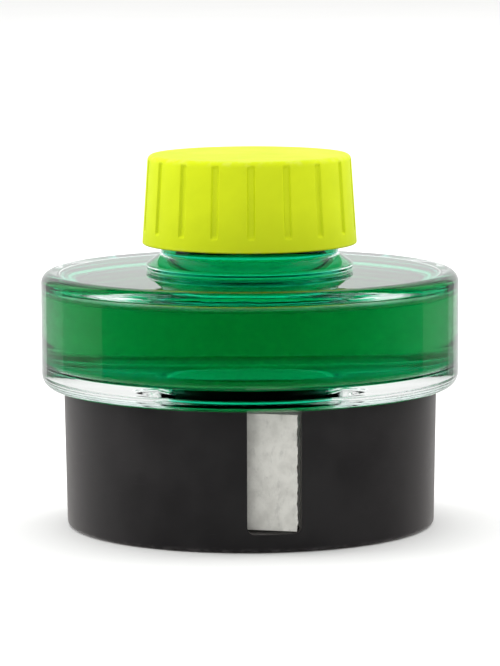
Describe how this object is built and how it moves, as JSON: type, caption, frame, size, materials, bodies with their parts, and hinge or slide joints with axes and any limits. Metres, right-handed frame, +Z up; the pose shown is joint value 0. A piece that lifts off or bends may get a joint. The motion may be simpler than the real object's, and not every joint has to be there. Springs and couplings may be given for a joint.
{
  "type": "ink bottle",
  "caption": "Round screw-cap ink bottle of thick glass on a black base that holds a roll of blotting paper, drawn out through an upright window in the skirt.",
  "frame": {"origin": "on the bottle's axis, in the plane the base stands on", "axes": "+Z up along the axis towards the cap; -Y towards the paper window"},
  "size_m": [0.07, 0.07, 0.0623],
  "materials": {
    "cap_plastic": "satin moulded, yellow-green",
    "liner_foam": "closed-cell foam disc",
    "bottle_glass": "clear pressed glass",
    "green_ink": "liquid, clear deep green",
    "base_plastic": "satin moulded, black",
    "blotting_paper": "soft absorbent, off-white"
  },
  "bodies": {
    "base": {"base_shell": "base_plastic"},
    "roll": {"paper_roll": "blotting_paper"},
    "tail": {"paper_tail": "blotting_paper"},
    "bottle": {"glass_bottle": "bottle_glass", "ink": "green_ink"},
    "seal": {"cap_liner": "liner_foam"},
    "cap": {"screw_cap": "cap_plastic"}
  },
  "joints": [
    {"name": "bottle_lift", "type": "slide", "parent": "base", "child": "bottle", "axis": [0, 0, 1], "range_m": [0, 0.02]},
    {"name": "cap_rise", "type": "slide", "parent": "bottle", "child": "seal", "axis": [0, 0, 1], "range_m": [0, 0.0127]},
    {"name": "cap_turn", "type": "hinge", "parent": "seal", "child": "cap", "pos_m": [0, 0, 0.0473], "axis": [0, 0, 1], "range_deg": [0, 1080]},
    {"name": "roll_turn", "type": "hinge", "parent": "base", "child": "roll", "pos_m": [0, 0, 0.0131], "axis": [0, 0, 1], "range_deg": [0, 15.5]},
    {"name": "paper_pull", "type": "slide", "parent": "base", "child": "tail", "axis": [0.9367, -0.3502, 0], "range_m": [0, 0.00755]}
  ],
  "couplings": [
    {"joint": "cap_rise", "follows": "cap_turn", "m_per_rad": 0.0006737},
    {"joint": "paper_pull", "follows": "roll_turn", "m_per_rad": 0.02785}
  ]
}
